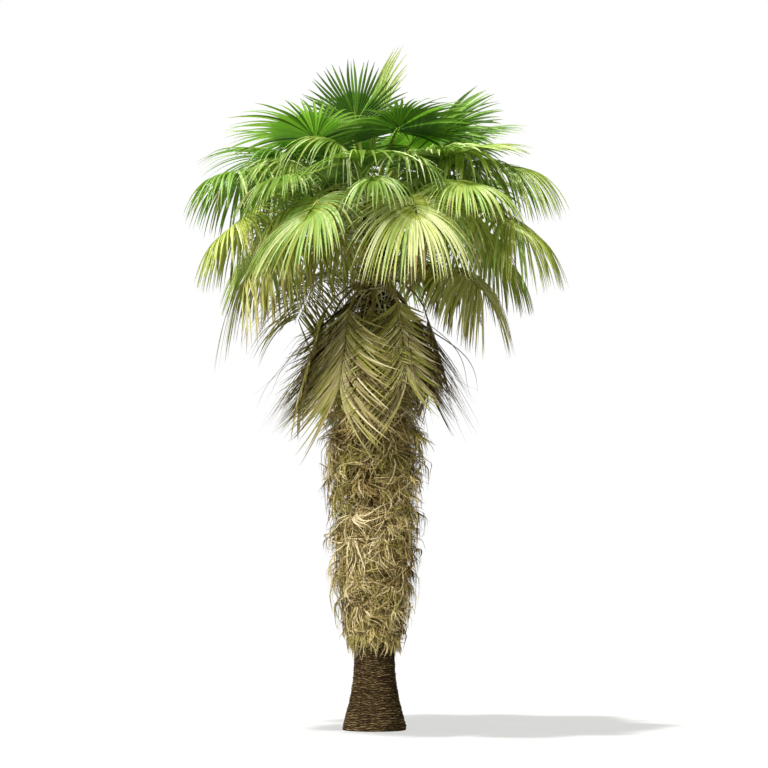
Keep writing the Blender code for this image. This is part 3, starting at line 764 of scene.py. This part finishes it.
# What single fronds change of their fan or feather, after the photograph. low_6 alone is small, to
# stay close to the imported model's box.
SINGLE_SHAPES = {
    "spear_frond": {"turn_to": -0.35},
    "spreading_frond_3": {"turn_to": 0.32, "slope": -0.35, "full": 0.034},
    "arching_2": {"size": 0.88, "turn_to": -0.45, "slope": 0.1, "one_side": 0.35},
    "arching_3": {"size": 0.93, "turn_to": 0.0},
    "arching_4": {"size": 0.66, "turn_to": 0.0, "slope": 0.1, "missing": 0.35, "mixed": 0.5},
    "arching_6": {"size": 0.90, "turn_to": 0.35, "slope": 0.15, "one_side": -0.3},
    "low_1": {"size": 0.82, "slope": 0.4},
    "low_2": {"size": 1.08, "turn_to": -0.45, "slope": 0.15, "one_side": 0.42},
    "low_3": {"turn_to": 0.12, "slope": 0.45, "mixed": 0.65},
    "low_4": {"slope": 0.3},
    "low_6": {"size": 0.90},
    "drooping_frond_1": {"start": 0.10, "sizes": (0.72, 1.10, 0.96)},
    "drooping_frond_2": {"start": 0.86, "sizes": (0.60, 0.78, 0.72), "opening": (100, 18)},
    "drooping_frond_3": {"start": 0.80, "full": 0.012, "missing": 0.5, "sizes": (0.3, 0.5, 0.5)},
    "drooping_frond_4": {"start": 0.60, "full": 0.012, "missing": 0.35},
    "drooping_inner": {"start": 0.70},
    "hanging_frond_1": {"sizes": (0.50, 0.80, 0.84)},
    "hanging_frond_2": {"sizes": (0.50, 0.80, 0.84), "sides": (1.0, 0.52)},
    "hanging_frond_4": THIN, "hanging_frond_5": THIN,
    "hanging_frond_7": {"start": 0.86, "full": 0.012},
    "hanging_inner_3": {"sizes": (0.34, 0.50, 0.50)},
    "hanging_inner_4": THIN, "hanging_inner_5": THIN,
}

# ---- pieces of the crown

SOURCE_TIERS = [tier.name for tier in TIERS]
TOOTHLESS_TIERS = ("spear_frond", "hanging_frond", "hanging_inner")
fronds = frond_layout()


def of_tiers(names):
    return [frond for frond in fronds if frond.tier.name in names]


def node_names(tiers, part="blade"):
    """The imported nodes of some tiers' fronds, or of that part of the ones that are split."""
    return [
        frond.name.replace("_", f"_{part}_") if frond.tier.name in SPLIT_TIERS else frond.name
        for frond in of_tiers(tiers) if frond.tier.name in SOURCE_TIERS
    ]


def crown_piece(name, tiers, shades, slot, seed, shape=fan, through=0.30, **options):
    """One joined piece of all the fans of some tiers."""
    sheaf = Sheaf()
    for frond in of_tiers(tiers):
        rng = np.random.default_rng(seed + 17 * frond.number + len(frond.tier.name))
        by_chance = rng.integers(0, len(shades))
        main = MAIN_SHADES.get(frond.tier.name, {}).get(frond.number + 1, by_chance)
        shape(sheaf, frond, shades, rng, main, **{**options, **SINGLE_SHAPES.get(frond.name, {})})
    materials = leaf_tones(name, shades, through)
    if options.get("dry_share"):
        materials.append(leaf_material(name + "_dry", DRY_TIP, 0.7, 0.15))
    sheaf.piece(name, materials, node_names(tiers))


def petioles_piece():
    sheaf = Sheaf()
    for frond in fronds:
        tone = PETIOLE_TONES.get(frond.tier.name, 0)
        petiole(sheaf, frond, tone)
        if frond.tier.name not in TOOTHLESS_TIERS:
            rng = np.random.default_rng(900 + frond.number + len(frond.name))
            teeth(sheaf, frond, tone, rng)
    materials = plain_tones("petiole", PETIOLES, 0.4, 0.04, 0.2)
    sheaf.piece("petioles", materials, node_names(SPLIT_TIERS, "petiole"))


YELLOWED = {"gap": 0.18, "fold_at": (0.9, 0.6), "mixed": 0.42, "lean": 0.35}

crown_piece("young_fan", ("spear_frond",), YOUNG, "young_leaf", 11, split=0.5, limp=0.5,
            full=0.0185)
crown_piece("upper_fans", ("erect_frond", "upper_frond", "crown_inner", "crown_side"), GREEN,
            "green_leaf", 100, through=0.32, split=0.44)
crown_piece("spreading_fans", ("spreading_frond", "crown_core"), SPREADING, "green_leaf", 200,
            split=0.22, slope=0.15, lean=0.15)
crown_piece("arching_fans", ("arching", "middle_inner"), ARCHING, "yellow_leaf", 300,
            split=0.14, dry_share=0.06, missing=0.06, slope=0.5, **YELLOWED)
crown_piece("low_fans", ("low", "low_inner"), LOW, "yellow_leaf", 400,
            split=0.12, dry_share=0.12, missing=0.08, full=0.022, slope=0.6, **YELLOWED)
crown_piece("drooping_fans", ("drooping_frond", "drooping_inner"), OLIVE, "olive_leaf", 500,
            shape=feather, start=0.14, sizes=(0.52, 0.90, 0.74), opening=(84, 46), bend=0.35,
            fold_at=(0.9, 0.4), dry_share=0.35, missing=0.12, full=0.018)
crown_piece("hanging_fans", ("hanging_frond", "hanging_inner"), DYING, "dead_leaf", 600,
            shape=feather, start=0.80, sizes=(0.50, 0.76, 0.66), opening=(38, 10), bend=1.7,
            turning=1.0, dry_share=0.4, limp=1.8, missing=0.2, full=0.0165, mixed=0.8,
            fold_at=(1.0, 0.8))
petioles_piece()

# ---- pieces of the skirt and neck

SKIRT_FANS, SKIRT_STRIPS = 165, 27
FRINGE_FANS, FRINGE_STRIPS = 44, 16
NECK_FANS, NECK_STRIPS = 58, 7
NECK_LOW, NECK_HEIGHT = 4.62, 0.95
WITHERED_AZIMUTHS = (-42, -34, -27, -20, -13, -6, 1, 8, 20, 50, 95, 130, 165, 178, 194, 210)
WITHERED_STRIPS = 24
# How often each of STRAWS is the main tone of a fan, in clumps of olive, of brown, whose dark
# strips are partly painted shade, and elsewhere.
OLIVE_CLUMP = (2.2, 2.0, 1.2, 4.0, 2.4, 1.2, 2.6)
BROWN_AND_SHADE_CLUMP = (1.2, 1.8, 3.6, 0.4, 5.6, 1.0, 0.8)
PALE_CLUMP = (3.8, 3.0, 2.0, 0.5, 2.4, 3.8, 0.5)


def straw_tone(rng, main, mixed, shades=len(STRAWS)):
    """Deals out the main tone, and any other to the share mixed of the strips."""
    def tones(count):
        other = rng.integers(0, shades, count)
        return np.where(rng.random(count) < mixed, other, main)
    return tones


def straw_tones(name, colours=STRAWS):
    return plain_tones(name, colours, 0.70, 0.10, 0.26, 0.3, dry=0.6)


def clump_shade(azimuth, z, rng):
    """The main tone of a fan: olive and brown ones lie together in clumps, the dark brown partly
    painted shade.
    """
    wave = math.sin(2.0 * azimuth + 2.3 * z + 0.9) + math.sin(3.0 * azimuth - 1.7 * z + 2.0)
    weights = OLIVE_CLUMP if wave > 0.95 else BROWN_AND_SHADE_CLUMP if wave < -1.05 else PALE_CLUMP
    weights = np.array(weights)
    return rng.choice(len(STRAWS), p=weights / weights.sum())


def skirt_piece(name, low, high, seed, nodes=(), fringe=0):
    """Dead fans in a close spiral, with a fringe of short ones at the skirt's lower edge."""
    sheaf = Sheaf()
    rng = np.random.default_rng(seed)
    for k in range(SKIRT_FANS):
        z = low + (high - low) * (k + rng.random()) / SKIRT_FANS
        azimuth = (k * GOLDEN + rng.normal(0.0, 0.2)) % (2 * math.pi)
        reach = rng.uniform(0.80, 1.10)
        dead_fan(
            sheaf, rng, azimuth, z,
            between(trunk_radius(z), envelope_radius(z), rng.uniform(0.1, 0.9)),
            rng.uniform(-78, -10), rng.uniform(0.38, 0.74), rng.uniform(0.9, 2.2), SKIRT_STRIPS,
            rng.uniform(0.1, 1.0), rng.uniform(0.010, 0.020),
            straw_tone(rng, clump_shade(azimuth, z, rng), 0.38),
            lambda count: reach * rng.uniform(0.70, 1.14, count),
            floor=rng.uniform(0.86, 1.02), sweep=rng.choice((-1, 1)) * rng.uniform(0.1, 1.5),
            curl=0.7, askew=0.8, wobble=0.19, steps=16,
        )
    for k in range(fringe):
        z = rng.uniform(1.02, 1.24)
        dead_fan(
            sheaf, rng, k * GOLDEN, z, trunk_radius(z) + rng.uniform(0.01, 0.06),
            rng.uniform(-88, -58), rng.uniform(0.22, 0.38), rng.uniform(0.5, 1.1), FRINGE_STRIPS,
            0.3, 0.017, straw_tone(rng, rng.choice((0, 1, 5, 3)), 0.3),
            lambda count: rng.uniform(0.8, 1.15, count), floor=rng.uniform(0.82, 0.92),
            sweep=rng.uniform(-0.8, 0.8), curl=0.6,
        )
    sheaf.piece(name, straw_tones(name), nodes)


skirt_piece("skirt_lower_leaves", 1.12, 2.35, 1100, [f"skirt_lower_{k}" for k in (1, 2, 3)],
            fringe=FRINGE_FANS)
skirt_piece("skirt_middle_leaves", 2.25, 3.50, 1150)
skirt_piece("skirt_upper_leaves", 3.40, 4.62, 1200, [f"skirt_upper_{k}" for k in (1, 2, 3)])

MAT_SIDES, MAT_ROWS = 120, 150
MAT_LOW, MAT_HIGH = 1.10, 4.60
MAT_SHARE = 0.60


def skirt_mat():
    """Under the loose leaves, older ones packed into a rough layer round the trunk, near-black as
    painted shade of the skirt's recesses.
    """
    rng = np.random.default_rng(1300)
    z = np.linspace(MAT_LOW, MAT_HIGH, MAT_ROWS)[:, None]
    turn = ring_turns(MAT_SIDES)
    inner = trunk_radius(z)
    thick = np.maximum(envelope_radius(z) * MAT_SHARE - inner, 0.008)
    rough = rng.random((MAT_ROWS, MAT_SIDES))
    for _ in range(2):
        rough = (rough + np.roll(rough, 1, 1) + np.roll(rough, 1, 0)) / 3
    rough = (rough - rough.min()) / (rough.max() - rough.min())
    points = ring_points(inner + thick * (0.70 + 0.45 * rough), turn, z)
    sheaf = Sheaf()
    sheaf.grid(points[None], (0,), uv_grid(turn * 3.0, z), closed=True)
    # The mat's near-black tones are painted shade, over the dead leaves' own dark brown.
    mat_and_shade = bark_material("matted_leaves", (0.010, 0.006, 0.002), (0.060, 0.040, 0.014),
                           (30, 30, 7))
    sheaf.piece("skirt_mat", [mat_and_shade])


def neck_piece():
    """Withered strips that cross in arcs over the dark trunk above the skirt."""
    sheaf = Sheaf()
    rng = np.random.default_rng(1400)
    for k in range(NECK_FANS):
        z = NECK_LOW + NECK_HEIGHT * (k + rng.random()) / NECK_FANS
        main = rng.choice((0, 0, 1, 2))
        dead_fan(
            sheaf, rng, k * GOLDEN, z, trunk_radius(z) + OFF_TRUNK, rng.uniform(-40, 5),
            rng.uniform(0.35, 0.66), rng.uniform(0.9, 1.6), NECK_STRIPS, rng.uniform(0.5, 1.3),
            0.023, straw_tone(rng, main, 0.25, len(NECK_WITH_PAINTED_LIGHT)),
            lambda count: rng.uniform(0.95, 1.30, count),
            sweep=rng.choice((-1, 1)) * rng.uniform(0.3, 1.2), askew=0.9,
        )
    # The neck's pale tones are painted light.
    sheaf.piece("neck_leaves", straw_tones("neck", NECK_WITH_PAINTED_LIGHT))


def withered_piece():
    """Withered dark fans that stand out round the neck and hang outside the dying ones."""
    sheaf = Sheaf()
    rng = np.random.default_rng(1500)
    for azimuth in WITHERED_AZIMUTHS:
        z = rng.uniform(4.85, 5.15)
        dead_fan(
            sheaf, rng, math.radians(azimuth), z, 0.19, rng.uniform(-56, -36),
            rng.uniform(1.4, 1.9), 0.34, WITHERED_STRIPS, 0.6, 0.017,
            lambda count: rng.choice(len(WITHERED), count, p=(0.4, 0.4, 0.2)),
            lambda count: np.full(count, 9.0), steps=22, curl=0.20, askew=0.12, wobble=0.15,
            power=1.3,
        )
    materials = plain_tones("withered", WITHERED, 0.75, 0.05, 0.35, 0.3)
    sheaf.piece("withered_fans", materials)


skirt_mat()
neck_piece()
withered_piece()

# ---- trunk

TRUNK_SIDES = 150
# Rows of points from one height to another: close where the bark shows.
BARK_ROWS = ((0.0, 1.30, 250), (1.31, 4.55, 60), (4.57, 6.25, 150))
RIDGE_STEP = 0.027
RIDGE_HEIGHT = 0.013
GRAIN_HEIGHT = 0.016
BARK_SUNK = 0.008
# How far the ridges wander up and down, by waves to a turn.
WANDER = ((1, 0.009), (2, 0.007), (3, 0.006), (5, 0.006), (9, 0.005), (17, 0.004))
# Shares of the faces that take the crack tone, with its painted shade, and the ridge tone, with
# its painted highlight.
CRACK_SHARE, RIDGE_SHARE = 0.42, 0.84
# The flat foot and the tip are closed by rings that shrink: row, order, rise and shares.
TRUNK_ENDS = ((0, -1, 0.0, (1.0, 0.66, 0.33, 0.004)), (-1, 1, 0.03, (1.0, 0.6, 0.2, 0.02)))


def patches(rng, rows, sides, count):
    """Smooth noise round the trunk: count values to a turn, one row of them for each ridge."""
    values = rng.random((rows, count))
    at = np.arange(sides) / sides * count
    low = np.floor(at).astype(int)
    part = at - low
    part = part * part * (3.0 - 2.0 * part)
    return values[:, low % count] * (1.0 - part) + values[:, (low + 1) % count] * part


def bark_relief(turn, z, rng):
    """Height of the bark over the trunk's own shape: broken level ridges with cracks between."""
    wander = np.zeros_like(turn)
    for k, size in WANDER:
        wave = np.sin(k * turn + rng.uniform(0, 6.3) + z * rng.uniform(2.0, 9.0))
        wander = wander + size * wave
    ridge = (z + wander + 0.1) / RIDGE_STEP
    row = np.floor(ridge).astype(int)
    saw = ridge - row
    rows, sides = row.max() + 1, turn.shape[1]
    long = patches(rng, rows, sides, 13)
    short = patches(rng, rows, sides, 53)
    side = np.arange(sides)
    size = 0.15 + 0.45 * long[row, side] + 0.75 * short[row, side]
    return (1.0 - np.abs(2 * saw - 1.0) ** 1.8) * size


def trunk_piece():
    rng = np.random.default_rng(1600)
    z = np.concatenate([np.linspace(*rows) for rows in BARK_ROWS])
    turn, z = np.broadcast_arrays(ring_turns(TRUNK_SIDES), z[:, None])
    ridges = bark_relief(turn, z, rng)
    grain = rng.random(ridges.shape)
    grain = (grain + np.roll(grain, 1, 1) + 0.5 * np.roll(grain, 1, 0)) / 2.5
    height = ridges * RIDGE_HEIGHT + (grain - 0.5) * GRAIN_HEIGHT
    foot = clamp(z / 0.03)
    radius = trunk_radius(z) - BARK_SUNK + height * (0.4 + 0.6 * foot)
    points = ring_points(radius, turn, z)
    sheaf = Sheaf()
    sheaf.grid(points[None], (1,), uv_grid(turn, z), closed=True)
    # Bark takes its tone from its height, face by face: darkest in the cracks as painted shade,
    # palest on the ridges as painted highlight, over the bark's own tones.
    tall = height[:-1].reshape(-1)
    sheaf.tones = [np.digitize(tall, np.quantile(tall, (CRACK_SHARE, RIDGE_SHARE)))]
    for row, order, rise, rings in TRUNK_ENDS:
        cap = [points[row] * (share, share, 1.0) + UP * rise * (1 - share) for share in rings]
        sheaf.grid(np.stack(cap)[None, ::order], (0,), closed=True)
    materials = [
        bark_material("bark_crack", (0.006, 0.003, 0.001), (0.040, 0.023, 0.008)),
        bark_material("bark", (0.024, 0.014, 0.005), (0.092, 0.059, 0.022)),
        bark_material("bark_ridge", (0.050, 0.033, 0.012), (0.235, 0.168, 0.085)),
    ]
    sheaf.piece("trunk_bark", materials, ["trunk"])


trunk_piece()

# ---- stage, light and camera

FLOOR_SIDE = 120.0
FLOOR_COLOUR, FLOOR_GLOW = (0.29, 0.29, 0.28, 1.0), (1.0, 1.0, 1.03, 1.0)
DOME_RADIUS = 90.0
SKY_COLOUR, SKY_STRENGTH = (1.0, 0.98, 0.66, 1.0), 0.32
# The photograph's scale and size, and the pixels of its trunk's middle and of the ground.
PIXEL = 0.01163
FRAME = 768
TRUNK_COLUMN, GROUND_ROW = 374.5, 727.5
DISTANCE = 30.0
EYE_HEIGHT = 2.0


def stage_object(name, made, shader, output, unseen):
    """The object just added, with its name and material, unseen by some rays."""
    obj = bpy.context.object
    obj.name = name
    obj.data.materials.append(made.finish(shader, output))
    for rays in unseen:
        setattr(obj, "visible_" + rays, False)
    return obj


def sun(name, energy, spread, colour, place):
    rotation = Vector(place).to_track_quat("Z", "Y").to_euler()
    bpy.ops.object.light_add(type="SUN", rotation=rotation)
    lamp = bpy.context.object
    lamp.name = name
    lamp.data.energy = energy
    lamp.data.angle = math.radians(spread)
    lamp.data.color = colour
    return lamp


# A pale floor that glows, so that it looks white apart from the shadow on it.
bpy.ops.mesh.primitive_plane_add(size=FLOOR_SIDE)
pale = Shading("pale_floor")
shader = pale.add("BsdfPrincipled", Base_Color=FLOOR_COLOUR, Roughness=0.9,
                  Specular_IOR_Level=0.1, Emission_Color=FLOOR_GLOW, Emission_Strength=0.60)
floor = stage_object("floor", pale, shader, "BSDF", ("diffuse",))

# A white dome behind everything, seen but lighting nothing.
bpy.ops.mesh.primitive_uv_sphere_add(segments=64, ring_count=32, radius=DOME_RADIUS)
white = Shading("white_backdrop")
dome = stage_object("backdrop", white, white.add("Emission", Strength=1.0), "Emission",
                    ("diffuse", "glossy", "transmission", "shadow"))

scene = bpy.context.scene
scene.world = scene.world or bpy.data.worlds.new("World")
scene.world.use_nodes = True
sky = scene.world.node_tree.nodes["Background"].inputs
sky["Color"].default_value = SKY_COLOUR
sky["Strength"].default_value = SKY_STRENGTH

sun("key", 4.1, 2.5, (1.0, 0.99, 1.0), (-0.24, -0.15, 1.0))
front = sun("front", 4.55, 12.0, (1.0, 0.99, 0.97), (-0.50, -1.0, 0.80))
# The front light leaves the floor alone, so only the key's shadow falls on it.
unlit = bpy.data.collections.new("not_lit_from_the_front")
unlit.objects.link(floor)
front.light_linking.receiver_collection = unlit
unlit.collection_objects[0].light_linking.link_state = "EXCLUDE"

aim = Vector(((FRAME / 2 - TRUNK_COLUMN) * PIXEL, 0.0, (GROUND_ROW - FRAME / 2) * PIXEL))
eye = Vector((aim.x, -DISTANCE, EYE_HEIGHT))
rotation = (aim - eye).to_track_quat("-Z", "Y").to_euler()
bpy.ops.object.camera_add(location=eye, rotation=rotation)
scene.camera = bpy.context.object
scene.camera.data.angle = 2 * math.atan(FRAME * PIXEL / 2 / (aim - eye).length)
scene.camera.data.clip_end = 300.0
scene.view_settings.view_transform = "Standard"
